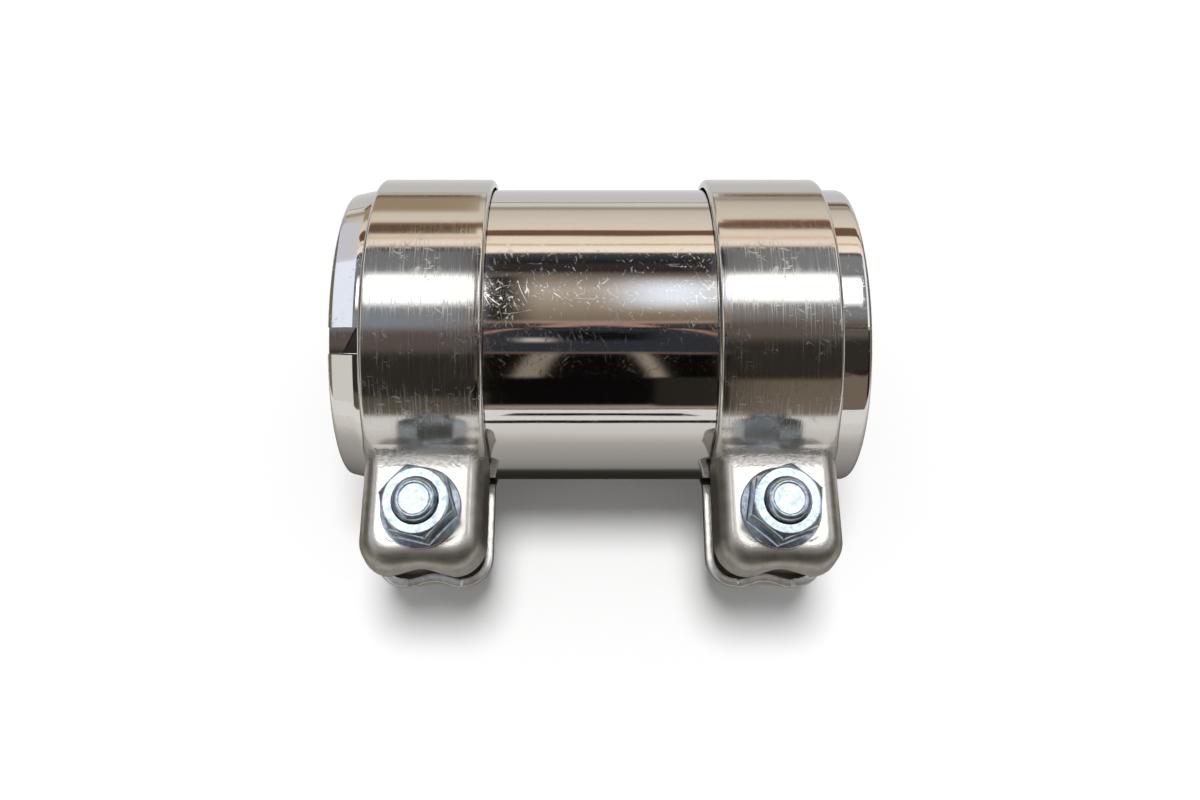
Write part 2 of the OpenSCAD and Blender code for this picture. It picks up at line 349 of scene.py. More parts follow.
def sleeveMesh():
    rows = sleeveRows()
    x0 = -sleeve["length"] / 2
    fold, bore = x0 + sleeve["collarLong"], sleeve["radius"] - sleeve["wall"]
    halfSlot = math.degrees(math.asin(sleeve["slotWide"] / 2 / sleeve["radius"]))
    seam = math.degrees(sleeve["seamWide"] / sleeve["radius"])
    slotTop, slotLow = sleeve["slotAt"] + halfSlot, sleeve["slotAt"] - halfSlot
    slotFrom, slotEnd = sleeveSteps["round"], x0 + sleeve["slotLong"]
    angles = [slotTop + (360 - 2 * halfSlot) * i / slotFrom for i in range(slotFrom)]
    closing = slotTop + 360  # the seam lies beside the slot's upper edge
    angles += [slotLow + 360, slotLow + 360 + halfSlot, closing - sleeve["seamBeside"]]
    angles += [closing - seam, closing - seam / 2]
    groove = {len(angles) - 1: sleeve["seamDeep"]}
    n, m = len(rows), len(angles)

    def at(x, r, angle):
        a = math.radians(angle)
        return (x, -r * math.cos(a), r * math.sin(a))

    points, sheetMap, inside = [], [], []
    for inner in (False, True):
        for i, (x, r) in enumerate(rows):
            for j, angle in enumerate(angles):
                if inner:
                    radius = bore - max(0.0, fold - x) * sleeve["collarDrop"] / sleeve["collarLong"]
                else:
                    radius = r - (groove.get(j, 0.0) if x > slotEnd - 1 else 0.0)
                points.append(at(x, radius, angle))
                # The inner face carries the bore's painted shade
                inside.append(1.0 if inner else 0.0)
                sheetMap.append((math.radians(angle) * sleeve["radius"] * mm, x * mm))
    slotRow = next(i for i, (x, r) in enumerate(rows) if x > slotEnd - 0.01)

    def outer(i, j): return i * m + j % m
    def inner(i, j): return n * m + i * m + j % m
    def open_(i, j): return i < slotRow and j % m >= slotFrom

    faces = []
    for i in range(n - 1):
        for j in range(m):
            if not open_(i, j):
                faces.append((outer(i, j), outer(i, j + 1), outer(i + 1, j + 1), outer(i + 1, j)))
                faces.append((inner(i, j), inner(i + 1, j), inner(i + 1, j + 1), inner(i, j + 1)))
    for j in range(m):
        if not open_(0, j):
            faces.append((outer(0, j), inner(0, j), inner(0, j + 1), outer(0, j + 1)))
        faces.append((outer(n - 1, j), outer(n - 1, j + 1), inner(n - 1, j + 1), inner(n - 1, j)))
        if j >= slotFrom:
            faces.append((outer(slotRow, j), inner(slotRow, j),
                          inner(slotRow, j + 1), outer(slotRow, j + 1)))
    for i in range(slotRow):
        faces.append((outer(i, slotFrom), outer(i + 1, slotFrom),
                      inner(i + 1, slotFrom), inner(i, slotFrom)))
        faces.append((outer(i, 0), inner(i, 0), inner(i + 1, 0), outer(i + 1, 0)))

    # The tongue is left standing in the slot's mouth, thinner than the sheet,
    # and steps down along a slant
    across, along, full = [sleeveSteps[key] for key in ("tongueAcross", "tongueAlong", "tongueFull")]
    lipLong, stepLong, lift = 0.15, 0.12, 0.02
    start = len(points)
    for level in (0, 1):
        for i in range(along + 1):
            for j in range(across + 1):
                share = j / across
                reach = lerp(sleeve["tongueShort"], sleeve["tongueLong"], share)
                if i <= full:
                    x = x0 + lipLong + (reach - lipLong) * i / full
                else:
                    hidden = (i - full - 1) / (along - full - 1)
                    x = x0 + lerp(reach + stepLong, sleeve["tongueHidden"], hidden)
                base = bore - sleeve["collarDrop"] - (sleeve["tongueStep"] if i > full else 0.0)
                angle = lerp(slotLow, slotTop, share)
                points.append(at(x, base + level * sleeve["tongueThick"] + lift, angle))
                # Past the step the tongue carries the bore's painted shade too
                inside.append(1.0 if i > full else 0.0)
                sheetMap.append((math.radians(angle) * sleeve["radius"] * mm, x * mm))

    def tongue(level, i, j): return start + (level * (along + 1) + i) * (across + 1) + j

    for i in range(along):
        for j in range(across):
            faces.append((tongue(1, i, j), tongue(1, i, j + 1),
                          tongue(1, i + 1, j + 1), tongue(1, i + 1, j)))
            faces.append((tongue(0, i, j), tongue(0, i + 1, j),
                          tongue(0, i + 1, j + 1), tongue(0, i, j + 1)))
        faces.append((tongue(0, i, 0), tongue(1, i, 0), tongue(1, i + 1, 0), tongue(0, i + 1, 0)))
        faces.append((tongue(0, i, across), tongue(0, i + 1, across),
                      tongue(1, i + 1, across), tongue(1, i, across)))
    for j in range(across):
        faces.append((tongue(0, 0, j), tongue(0, 0, j + 1), tongue(1, 0, j + 1), tongue(1, 0, j)))
        faces.append((tongue(0, along, j), tongue(1, along, j),
                      tongue(1, along, j + 1), tongue(0, along, j + 1)))
    return points, faces, sheetMap, {"bore": inside}


points, faces, sheetMap, shares = sleeveMesh()
addPiece("sleeveTube", points, faces, sleeveMaterial, "sleeve", "sleeve", sheetMap,
         shares=shares)
print("sleeve made")

# Bands: one strip each, from rim to rim over both pressed lugs

band = {
    "wide": 28.4, "outer": 40.2, "thick": 2.0, "fillet": 1.1, "clearOfSleeve": 38.7,
    "bendRadius": 4.0, "face": 18.9, "rim": 9.0, "halfLug": 14.75, "corner": 7.5,
    "sideRound": 3.5, "endRound": 5.0, "edgeDeep": 4.2, "draft": 0.45,
    "arch": 1.5, "archHigh": 0.55, "archBack": 2.5, "archSoft": 0.6, "rimRound": 0.5,
    "boltAt": 48.916, "lugEnd": 14.1, "hole": 5.5, "underCorner": 0.25,
    "formedFrom": 0.5, "formedOver": 7.0,  # millimetres up the strap over which the lug's form fades
    "rimStep": 0.05, "wallStep": 0.2, "flatStep": 0.6, "edgeStep": 1.2, "leastCorner": 0.2,
    "ringCrowd": 1.15, "mapShift": 50.0,
}
# The shares that the finish reads: rows past the bend, angles round the ring, rows from the rim
bandShares = {
    "pressedFrom": 4, "pressedOver": 30, "creaseAt": 4.5, "creaseWide": 8.0,
    "rubbedLeast": 0.15, "rubbedFrom": 0.5, "rubbedOver": 0.2, "rubbedTo": 1.7, "rubbedEnd": 0.25,
    "roundedFrom": 2.5, "roundedOver": 3.5, "cutOuter": 2, "cutInner": 1,
}
bandPlaces = {"left": -40.9, "right": 41.5}
bendEnd = math.sqrt((band["outer"] + band["bendRadius"]) ** 2 - (band["face"] + band["bendRadius"]) ** 2)
boltAt = band["boltAt"]
lugReach = boltAt + band["lugEnd"]
steps = {"rim": 3, "wall": 3, "round": 9, "fade": 6, "flat": 2, "middle": 18, "bend": 16, "ring": 100,
         "patch": 7, "hole": 4, "strap": 6}
patch = steps["patch"]  # rows and columns of one millimetre on each side of the bolt hole
roundLevel = steps["rim"] + steps["wall"] + steps["round"] - 1
lastLevel = roundLevel + steps["flat"]
columns = 2 * lastLevel + steps["middle"] + 1
middleColumn = columns // 2


def lugLevels(inset):
    # Every level of the dish from its rim to its flat face:
    # how far in at the sides and the end, how high, how much arch, how much of the cut-back
    levels = []
    wallTop = band["face"] - inset - band["edgeDeep"]
    rounded = band["rimRound"] if inset == 0 else 0.0
    for i in range(steps["rim"]):
        turn = math.pi / 2 * i / steps["rim"]
        inward = rounded * (1 - math.sin(turn))
        high = band["rim"] + rounded * (1 - math.cos(turn)) + i * band["rimStep"]
        levels.append((inward, inward, high, 1.0, 1.0))
    wallFrom = band["rim"] + rounded + band["wallStep"]
    for i in range(steps["wall"]):
        share = i / steps["wall"]
        side = band["draft"] * share
        arched = lerp(1.0, band["archHigh"], share)
        levels.append((side, side, lerp(wallFrom, wallTop, share), arched, 1.0 - share))
    for i in range(steps["round"]):
        turn = math.pi / 2 * i / (steps["round"] - 1)
        curved = 1 - math.cos(turn)
        side, end = [band["draft"] + band[key] * curved for key in ("sideRound", "endRound")]
        arched = band["archHigh"] * (1 - ease(i / steps["fade"]))
        levels.append((side, end, wallTop + band["edgeDeep"] * math.sin(turn), arched, 0.0))
    for i in range(steps["flat"]):
        inward = band["draft"] + band["flatStep"] * (i + 1)
        side, end = inward + band["sideRound"], inward + band["endRound"]
        levels.append((side, end, band["face"] - inset, 0.0, 0.0))
    return levels


def middleShare(column):
    return (column - lastLevel) / steps["middle"]


def sideOf(column):
    # The level a column follows down the side, and the side it is on
    if column <= lastLevel:
        return column, -1
    if column >= columns - 1 - lastLevel:
        return columns - 1 - column, 1
    return None, 0


def levelShape(k, inset, levels):
    half, reach, corner = band["halfLug"] - inset, lugReach - inset, band["corner"] - inset
    sideIn, endIn, high, arched, cut = levels[k]
    radius = max(corner - sideIn, band["leastCorner"])
    return half - sideIn - radius, reach - endIn - radius, radius, high, arched, cut


def endRow(row, column, inset, levels):
    # Rows 0 to lastLevel climb the end wall of the lug and round its corners
    level, side = sideOf(column)
    if side == 0:
        flat, low, radius, high, arched, cut = levelShape(row, inset, levels)
        x = lerp(-flat, flat, middleShare(column))
        rise = band["arch"] * arched * (1 + math.cos(math.pi * x / flat)) / 2
        soft = band["archSoft"]
        high += ease((flat + soft - abs(x)) / (2 * soft)) * band["archBack"] * cut
        return x, low + radius - rise, high
    k = min(level, row)
    flat, low, radius, high, arched, cut = levelShape(k, inset, levels)
    if k == lastLevel:
        turn = math.pi / 4
    elif level <= row:
        turn = math.pi / 4 * (lastLevel - row) / (lastLevel - k)
    else:
        turn = math.pi / 2 - math.pi / 4 * (lastLevel - level) / (lastLevel - k)
    return side * (flat + radius * math.cos(turn)), low + radius * math.sin(turn), high


def facePlace(place, column, inset, levels):
    # Rows of the face start below the round corners at the sides, and close to the end in the middle
    level, side = sideOf(column)
    fromMiddle = abs(column - middleColumn)
    last = boltAt - patch
    if place <= last or fromMiddle <= patch:
        return place
    k = level if side else lastLevel
    first = levelShape(k, inset, levels)[1] - band["underCorner"]
    moved = lerp(first, last, (boltAt + patch - place) / (2 * patch))
    return moved if side or fromMiddle > patch + 1 else (moved + place) / 2


faceRows = [boltAt + patch - i for i in range(2 * patch + 1)]
faceRows += [lerp(boltAt - patch, bendEnd, i / steps["strap"]) for i in range(1, steps["strap"] + 1)]


def stations():
    # Places along the strip from the lug's face round the bend to the back of the ring,
    # where the rows lie closest near the bend
    made = [("face", place) for place in faceRows]
    bendTurn = math.atan2(bendEnd, band["face"] + band["bendRadius"])
    made += [("bend", bendTurn * i / steps["bend"]) for i in range(1, steps["bend"] + 1)]
    ringFrom = math.pi / 2 - bendTurn
    for i in range(1, steps["ring"] + 1):
        made.append(("ring", lerp(ringFrom, math.pi, (i / steps["ring"]) ** band["ringCrowd"])))
    return made, bendTurn, ringFrom


allStations, bendTurn, ringFrom = stations()


def stationRow(kind, place, column, inset, levels):
    centreH = band["face"] + band["bendRadius"]
    if kind == "face":
        l, h, nl, nh = facePlace(place, column, inset, levels), band["face"] - inset, 0.0, 1.0
        along = -(place - bendEnd)
    elif kind == "bend":
        r = band["bendRadius"] + inset
        l, h = bendEnd - r * math.sin(place), centreH - r * math.cos(place)
        nl, nh = math.sin(place), math.cos(place)
        along = band["bendRadius"] * place
    else:
        r = band["outer"] - inset
        l, h, nl, nh = r * math.cos(place), r * math.sin(place), math.cos(place), math.sin(place)
        along = band["bendRadius"] * bendTurn + band["outer"] * (place - ringFrom)
    formed = ease((band["formedOver"] - along) / (band["formedOver"] - band["formedFrom"]))
    level, side = sideOf(column)
    ringWide = band["wide"] / 2
    if side == 0:
        share = middleShare(column)
        lugEdge = band["halfLug"] - inset - levels[lastLevel][0]
        ringEdge = ringWide - band["fillet"] - band["edgeStep"] * steps["flat"]
        edge = lerp(ringEdge, lugEdge, formed)
        return lerp(-edge, edge, share), l, h
    # The dish's own profile at this level
    sideIn, endIn, high, arched, cut = levels[level]
    lugX = band["halfLug"] - inset - sideIn
    lugDrop = (band["face"] - inset) - high
    # The plain strip's profile with its rounded edge
    turn = math.pi / 2 * min(1.0, level / roundLevel)
    ringX = ringWide - band["fillet"] * (1 - math.cos(turn))
    ringX -= band["edgeStep"] * max(0, level - roundLevel)
    ringDrop = band["fillet"] * (1 - math.sin(turn)) if inset == 0 else 0.0
    # The wall of the dish goes down to the rim, or to just above the sleeve
    downL, downH = lerp(-nl, 0.0, formed), lerp(-nh, -1.0, formed)
    size = math.hypot(downL, downH)
    downL, downH = downL / size, downH / size
    farDown = 99.0
    deep = (h - band["rim"]) / -downH if downH < -0.01 else farDown
    b = l * downL + h * downH
    c = l * l + h * h - band["clearOfSleeve"] ** 2
    if b * b - c > 0 and kind != "face":
        hit = -b - math.sqrt(b * b - c)
        if hit > 0:
            deep = min(deep, hit)
        elif c <= 0:
            deep = 0.0
    fullDrop = band["face"] - inset - band["rim"]
    lugDrop = lugDrop * deep / fullDrop
    x = lerp(ringX, lugX, formed)
    drop = lerp(ringDrop, lugDrop, formed)
    return side * x, l + downL * drop, h + downH * drop


def holeMap(grid, rowFrom):
    # The middle of the face closes in on the round bolt hole
    first, open_ = middleColumn - patch, steps["hole"]
    for p in range(-patch, patch + 1):
        for q in range(-patch, patch + 1):
            ring = max(abs(p), abs(q))
            if ring < open_:
                continue
            if abs(p) >= abs(q):
                turn = (0 if p > 0 else math.pi) + math.pi / 4 * q / p
            else:
                turn = (math.pi / 2 if q > 0 else -math.pi / 2) - math.pi / 4 * p / q
            share = (ring - open_) / (patch - open_)
            x, l, h = grid[rowFrom + patch - q][first + patch + p]
            squareX, squareL = x if ring == patch else p, boltAt + q
            circleX, circleL = band["hole"] * math.cos(turn), boltAt + band["hole"] * math.sin(turn)
            grid[rowFrom + patch - q][first + patch + p] = (
                lerp(circleX, squareX, share), lerp(circleL, squareL, share), h)


def surfaceGrid(inset):
    levels = lugLevels(inset)
    grid = []
    for row in range(lastLevel + 1):
        grid.append([endRow(row, column, inset, levels) for column in range(columns)])
    for kind, place in allStations:
        grid.append([stationRow(kind, place, column, inset, levels) for column in range(columns)])
    holeMap(grid, lastLevel + 1)
    mirrored = [[(x, l, -h) for x, l, h in row] for row in reversed(grid[:-1])]
    return grid + mirrored


def bandMesh(centreX):
    outerGrid, innerGrid = surfaceGrid(0), surfaceGrid(band["thick"])
    rowCount = len(outerGrid)
    points, sheetMap, faces = [], [], []
    shares = {"pressed": [], "creased": [], "rubbed": [], "cut": [], "rounded": []}
    s = bandShares
    bendRow = lastLevel + len(faceRows)
    run = [0.0]  # the way along the strip, beside the hole
    beside = middleColumn - patch - 2
    for i in range(1, rowCount):
        run.append(run[-1] + math.dist(outerGrid[i - 1][beside], outerGrid[i][beside]))
    for grid, cutRows in ((outerGrid, s["cutOuter"]), (innerGrid, s["cutInner"])):
        for i, row in enumerate(grid):
            fromEnd = min(i, rowCount - 1 - i)
            pastBend = fromEnd - bendRow
            pressed = 1.0 - ease((pastBend - s["pressedFrom"]) / s["pressedOver"])
            for j, (x, l, h) in enumerate(row):
                points.append(lying((x + centreX, -l, h)))
                sheetMap.append((run[i] * mm, (x + band["mapShift"]) * mm))
                creased = max(0.0, 1.0 - abs(pastBend - s["creaseAt"]) / s["creaseWide"])
                shares["pressed"].append(pressed)
                shares["creased"].append(creased)
                around = math.atan2(abs(h), l)
                rubbed = ease((around - s["rubbedFrom"]) / s["rubbedOver"])
                rubbed *= 1 - ease((around - s["rubbedTo"]) / s["rubbedEnd"])
                shares["rubbed"].append(lerp(s["rubbedLeast"], 1.0, rubbed))
                fromRim = min(fromEnd, j, columns - 1 - j)
                matt = 1.0 - ease((fromRim - roundLevel + s["roundedFrom"]) / s["roundedOver"])
                shares["rounded"].append(pressed * matt)
                shares["cut"].append(1.0 if fromRim < cutRows and pastBend < 0 else 0.0)
    total, lastRow, lastColumn = rowCount * columns, rowCount - 1, columns - 1

    def outer(i, j): return i * columns + j
    def inner(i, j): return total + i * columns + j

    holeFirst, holeLast = middleColumn - steps["hole"], middleColumn + steps["hole"]
    holeRow = lastLevel + 1 + patch
    holeRows = [(holeRow - steps["hole"], holeRow + steps["hole"])]
    holeRows.append((lastRow - holeRows[0][1], lastRow - holeRows[0][0]))

    def open_(i, j):
        return holeFirst <= j < holeLast and any(a <= i < b for a, b in holeRows)

    for i in range(lastRow):
        for j in range(lastColumn):
            if not open_(i, j):
                faces.append((outer(i, j), outer(i, j + 1), outer(i + 1, j + 1), outer(i + 1, j)))
                faces.append((inner(i, j), inner(i + 1, j), inner(i + 1, j + 1), inner(i, j + 1)))
        faces.append((outer(i, 0), outer(i + 1, 0), inner(i + 1, 0), inner(i, 0)))
        faces.append((outer(i, lastColumn), inner(i, lastColumn),
                      inner(i + 1, lastColumn), outer(i + 1, lastColumn)))
    for j in range(lastColumn):
        faces.append((outer(0, j), inner(0, j), inner(0, j + 1), outer(0, j + 1)))
        faces.append((outer(lastRow, j), outer(lastRow, j + 1), inner(lastRow, j + 1), inner(lastRow, j)))
    for a, b in holeRows:
        for i in range(a, b):
            faces.append((outer(i, holeFirst), inner(i, holeFirst),
                          inner(i + 1, holeFirst), outer(i + 1, holeFirst)))
            faces.append((outer(i, holeLast), outer(i + 1, holeLast),
                          inner(i + 1, holeLast), inner(i, holeLast)))
        for j in range(holeFirst, holeLast):
            faces.append((outer(a, j), outer(a, j + 1), inner(a, j + 1), inner(a, j)))
            faces.append((outer(b, j), inner(b, j), inner(b, j + 1), outer(b, j + 1)))
    faces = [tuple(reversed(face)) for face in faces]
    return points, faces, sheetMap, shares


for side, place in bandPlaces.items():
    points, faces, sheetMap, shares = bandMesh(place)
    body, node = side + "_clamp", side + "_band"
    addPiece(side + "Strap", points, faces, bandMaterial, body, node, sheetMap,
             sharp=50.0, shares=shares)
print("bands made")

# Flanged bolts and nuts

fastener = {
    "thread": 5.0, "pitch": 1.5, "threadDeep": 0.55, "ridge": 2.5, "runIn": 1.5, "runOut": 1.2,
    "long": 50.0, "tipChamfer": 1.3, "threadClear": 0.05,
    "hex": 15.0, "hexTop": 7.35, "slope": 0.75, "nutHigh": 10.0, "headHigh": 9.0,
    "flange": 9.25, "flangeThin": 1.0, "flangeRise": 1.65,
    "hexRound": 120, "shankRound": 48, "rowsPerTurn": 8,
    # Small roundings as rings: how far out or in, and how far up or down
    "foot": [(-0.3, 0.0), (-0.08, 0.08), (0.0, 0.3)], "brim": [(0.0, -0.12), (-0.15, 0.02)],
    "crown": [(0.12, -0.1), (-0.15, 0.0), (-0.3, 0.0)],
    "mouth": [(0.45, 0.0), (0.3, 0.0), (0.2, -0.06), (0.0, -0.4)],
    "dish": [(5.6, 0.0), (5.2, -0.35), (0.01, -0.4)],
    # The tip: a short chamfer, a soft shoulder and a flat middle sunk a little
    "tip": [(4.85, 0.95), (4.7, 0.55), (4.55, 0.3), (4.3, 0.14), (4.0, 0.05), (3.7, 0.0), (3.55, 0.03),
            (3.45, 0.12), (3.35, 0.15), (3.2, 0.15), (3.0, 0.15)],
}
nutTurns = {"left": 17, "right": -10}


def ringAt(radius, high, segments, turn=0.0):
    angles = [2 * math.pi * j / segments + turn for j in range(segments)]
    return [(radius * math.cos(a), radius * math.sin(a), high) for a in angles]


def hexRings(height, turn, bored):
    # Rings of points from the underside of the flange over the hexagon to its top
    f = fastener
    segments = f["hexRound"]
    rings = []

    def plain(radius, high):
        rings.append(ringAt(radius, high, segments, turn))

    def sided(inward, high, share=1.0):
        # A ring that follows the hexagon, at the height that high gives for each radius
        made = []
        for j in range(segments):
            angle = 2 * math.pi * j / segments
            inSide = (angle + math.pi / 6) % (math.pi / 3) - math.pi / 6
            radius = lerp(f["hexTop"], f["hex"] / 2 / math.cos(inSide) - inward, share)
            made.append((radius * math.cos(angle + turn), radius * math.sin(angle + turn), high(radius)))
        rings.append(made)

    bore = f["thread"] + f["threadClear"]
    if bored:
        plain(bore, 0.0)
    for out, up in f["foot"]:
        plain(f["flange"] + out, up)
    for out, up in f["brim"]:
        plain(f["flange"] + out, f["flangeThin"] + up)
    slopeFrom = f["hex"] / 2 - 1
    sloped = (f["flangeRise"] - f["flangeThin"]) / (f["flange"] - slopeFrom)

    def onSlope(radius): return f["flangeRise"] - (radius - slopeFrom) * sloped
    def chamferAt(radius): return height - (radius - f["hexTop"]) * f["slope"]

    sided(-0.25, onSlope)
    sided(0.0, lambda r: onSlope(r) + 0.3)
    sided(0.0, lambda r: chamferAt(r) - 0.12)
    sided(0.1, lambda r: chamferAt(r) - 0.02)
    sided(0.0, chamferAt, 0.5)
    for out, up in f["crown"]:
        plain(f["hexTop"] + out, height + up)
    for radius, up in f["mouth"] if bored else f["dish"]:
        plain(radius + bore if bored else radius, height + up)
    return rings, bored


def ringsMesh(rings, closed, place, centre, flip=False):
    points, faces = [], []
    segments = len(rings[0])
    for ring in rings:
        for x, y, z in ring:
            points.append(lying((x + centre, y - boltAt, (-z if flip else z) + place)))
    count = len(rings)
    for i in range(count if closed else count - 1):
        for j in range(segments):
            here, above, beside = i * segments, (i + 1) % count * segments, (j + 1) % segments
            face = (here + j, here + beside, above + beside, above + j)
            faces.append((face[0], face[3], face[2], face[1]) if flip else face)
    if not closed:
        top = [(count - 1) * segments + j for j in range(segments)]
        base = [segments - 1 - j for j in range(segments)]
        faces += [tuple(reversed(top)), tuple(reversed(base))] if flip else [tuple(top), tuple(base)]
    return points, faces


def shankRings():
    f = fastener
    segments = f["shankRound"]
    rings = []
    threadEnd = f["long"] - f["tipChamfer"]
    rows = int(threadEnd / f["pitch"] * f["rowsPerTurn"])
    for i in range(rows + 1):
        z = threadEnd * i / rows
        fade = ease((threadEnd - z) / f["runOut"]) * ease(z / f["runIn"])
        made = []
        for j in range(segments):
            angle = 2 * math.pi * j / segments
            phase = (z / f["pitch"] + j / segments) % 1.0
            radius = f["thread"] - f["threadDeep"] * min(1.0, abs(phase - 0.5) * f["ridge"]) * fade
            made.append((radius * math.cos(angle), radius * math.sin(angle), z))
        rings.append(made)
    return rings + [ringAt(radius, f["long"] - below, segments) for radius, below in f["tip"]]


for side, place in bandPlaces.items():
    rings, closed = hexRings(fastener["nutHigh"], math.radians(nutTurns[side]), True)
    points, faces = ringsMesh(rings, closed, band["face"], place)
    node = side + "_nut"
    addPiece(side + "FlangeNut", points, faces, zincMaterial, node, node, sharp=25.0)
    rings, closed = hexRings(fastener["headHigh"], 0.0, False)
    points, faces = ringsMesh(rings, closed, -band["face"], place, True)
    shank, shankFaces = ringsMesh(shankRings(), False, -band["face"], place)
    start = len(points)
    points += shank
    faces += [tuple(k + start for k in face) for face in shankFaces]
    node = side + "_bolt"
    addPiece(side + "FlangeBolt", points, faces, zincMaterial, node, node, sharp=25.0)
print("bolts and nuts made")

# Table, what the metal reflects, lamps and camera

studio = {
    "floorLow": -40.2, "floorWide": 30000.0, "floorTone": srgb(250, 250, 250), "floorGlow": 0.05,
    "tentRadius": 1500.0, "tentLong": 6000.0, "tentSteps": 64, "tentStrength": 1.7,
    "curtainAt": 2990.0, "curtainTone": srgb(96, 90, 84), "tubeShift": 1.43, "eyeAbove": 53,
    "sunStrength": 2.33, "sunWide": 21.0, "ambient": 0.3,
}

# Walls and ceiling by the angle above the front horizon in degrees,
# in the tones that the polished metal shows
roomStrips = [
    (0, (140, 128, 120)), (1, (96, 88, 83)), (2.2, (10, 9, 9)), (40, (7, 7, 7)),
    (64, (50, 48, 46)), (65.5, (150, 130, 116)), (67.5, (116, 104, 92)), (76, (138, 127, 112)),
    (90, (166, 158, 148)), (98, (132, 122, 112)), (103, (98, 92, 87)), (106, (44, 40, 40)),
    (111, (48, 44, 42)), (114, (30, 32, 36)), (120.5, (56, 62, 68)), (121.5, (120, 92, 70)),
    (122.5, (234, 225, 213)), (127.5, (228, 219, 206)), (129.5, (190, 160, 132)),
    (131, (224, 213, 199)), (137.5, (218, 205, 188)), (138.5, (104, 76, 60)),
    (143.5, (100, 74, 58)), (144.5, (208, 198, 185)), (156, (198, 191, 181)),
    (166, (186, 180, 170)), (169, (178, 170, 158)), (171, (142, 134, 125)), (174, (148, 141, 133)),
    (176, (190, 187, 183)), (180, (196, 194, 192)),
]

# Boards and lamps in front of them: angles from and to, sideways share from and to,
# softness of both, and tone
roomBoards = [
    ("darkCurtain", 66, 102, -0.12, -0.068, 3, 0.02, (34, 30, 28)),
    ("coolWindow", 78, 97, 0.045, 0.137, 7, 0.045, (226, 236, 250)),
    ("leftShelf", 24, 44, -0.0579, -0.0289, 1.5, 0.006, (124, 116, 106)),
    ("rightShelf", 24, 44, 0.0473, 0.0633, 1.5, 0.006, (134, 126, 115)),
    ("frontDoor", 0, 24, 0.07, 0.14, 1.5, 0.005, (36, 34, 30)),
    ("paleStreak", 50.5, 53, -0.07, -0.035, 1, 0.012, (176, 170, 164)),
    ("darkSlot", 51.5, 57.5, -0.03, 0.065, 1.5, 0.02, (16, 16, 17)),
    ("leftGlow", 72, 118, -0.46, -0.109, 2, 0.01, (112, 115, 119)),
    ("rightGlow", 66, 119.5, 0.137, 0.46, 2, 0.01, (118, 120, 124)),
    ("leftWall", 40, 62, -0.5, -0.109, 4, 0.01, (84, 76, 73)),
    ("leftPane", 60, 74, -0.5, -0.109, 3, 0.01, (122, 128, 136)),
    ("rightWall", 52, 68, 0.137, 0.5, 5, 0.01, (88, 82, 76)),
    ("leftDarkWall", 12, 44, -0.5, -0.109, 4, 0.01, (42, 40, 37)),
    ("rightDarkWall", 27, 52, 0.137, 0.5, 4, 0.01, (44, 41, 37)),
    ("leftStep", -2, 12, -0.5, -0.109, 2, 0.01, (78, 73, 65)),
    ("rightStep", -5, 25, 0.15, 0.5, 2, 0.01, (104, 95, 84)),
    ("leftBeam", 173, 179, -0.4, -0.109, 0.8, 0.01, (70, 50, 38)),
    ("rightBeam", 175.5, 180.5, 0.137, 0.4, 0.8, 0.01, (112, 88, 70)),
    ("leftTan", 156, 175.5, -0.4, -0.109, 3, 0.01, (146, 130, 109)),
    ("leftRail", 133, 141, -0.4, -0.109, 0.8, 0.01, (92, 72, 60)),
    ("rightRail", 137.5, 147, 0.137, 0.4, 0.8, 0.01, (102, 78, 62)),
    ("leftSoftbox", 79, 98, -0.27, -0.113, 5, 0.006, (252, 253, 255)),
    ("rightSoftbox", 81, 98.5, 0.14, 0.3, 4.5, 0.006, (252, 253, 255)),
    ("leftCove", -5, 60, -0.64, -0.46, 2, 0.01, (196, 196, 194)),
    ("leftCoveTop", 60, 122, -0.64, -0.46, 2, 0.01, (222, 230, 246)),
    ("leftCoveBack", 122, 164, -0.64, -0.46, 2, 0.01, (190, 192, 202)),
    ("leftCoveFoot", 164, 200, -0.64, -0.46, 2, 0.01, (158, 160, 166)),
    ("leftEnd", -5, 200, -2, -0.64, 2, 0.02, (106, 98, 90)),
    ("rightCove", 60, 122, 0.46, 0.7, 2, 0.02, (226, 232, 240)),
    ("rightEnd", -5, 200, 0.7, 2, 2, 0.02, (112, 105, 97)),
]
boardStrength = {"leftSoftbox": 2.3, "rightSoftbox": 2.3}
boardLean = {"leftShelf": 0.001, "rightShelf": -0.00095}  # how far it leans sideways for each degree down

# Dark strips lie on the table far in front: sideways from and to, near and far in millimetres
tableStrips = [
    ("tableEdge", -53, 64, -285, -238, (40, 34, 30)),
    ("tableGap", -53, 64, -560, -418, (10, 10, 11)),
    ("tableEnd", -700, 700, -1460, -1150, (12, 11, 11)),
]

# Glowing grey cards on the table, only seen by the metal: half width, height, and tones from front to back.
# They paint the floor's shadow: the front card darkens towards the object, and the card under the sleeve is
# the painted shadow that the sleeve's lowest edge shows.
tableCards = {
    "frontShadowCard": (600, 0.3, [
        (-236, (253, 252, 250)), (-150, (243, 241, 238)), (-106, (206, 204, 200)),
        (-87, (190, 189, 186)), (-70, (180, 179, 177)), (-56, (163, 162, 161)),
        (-40, (132, 131, 130)), (-25, (80, 80, 80))]),
    "sleeveShadowCard": (35, 0.4, [
        (-56, (163, 162, 160)), (-52, (156, 155, 153)), (-49.5, (138, 137, 134)),
        (-46.5, (84, 83, 79)), (-43.5, (54, 54, 50)), (-37, (44, 43, 39)),
        (-15, (42, 41, 38))]),
    "backCard": (600, 0.3, [(40, (225, 226, 228)), (1400, (236, 237, 239))]),
}


def plainObject(name, points, faces, material):
    mesh = bpy.data.meshes.new(name)
    mesh.from_pydata([Vector(p) * mm for p in points], [], faces)
    mesh.materials.append(material)
    made = bpy.data.objects.new(name, mesh)
    bpy.context.scene.collection.objects.link(made)
    return made


def onlyReflected(made):
    for ray in ("camera", "diffuse", "shadow", "transmission", "volume_scatter"):
        setattr(made, "visible_" + ray, False)


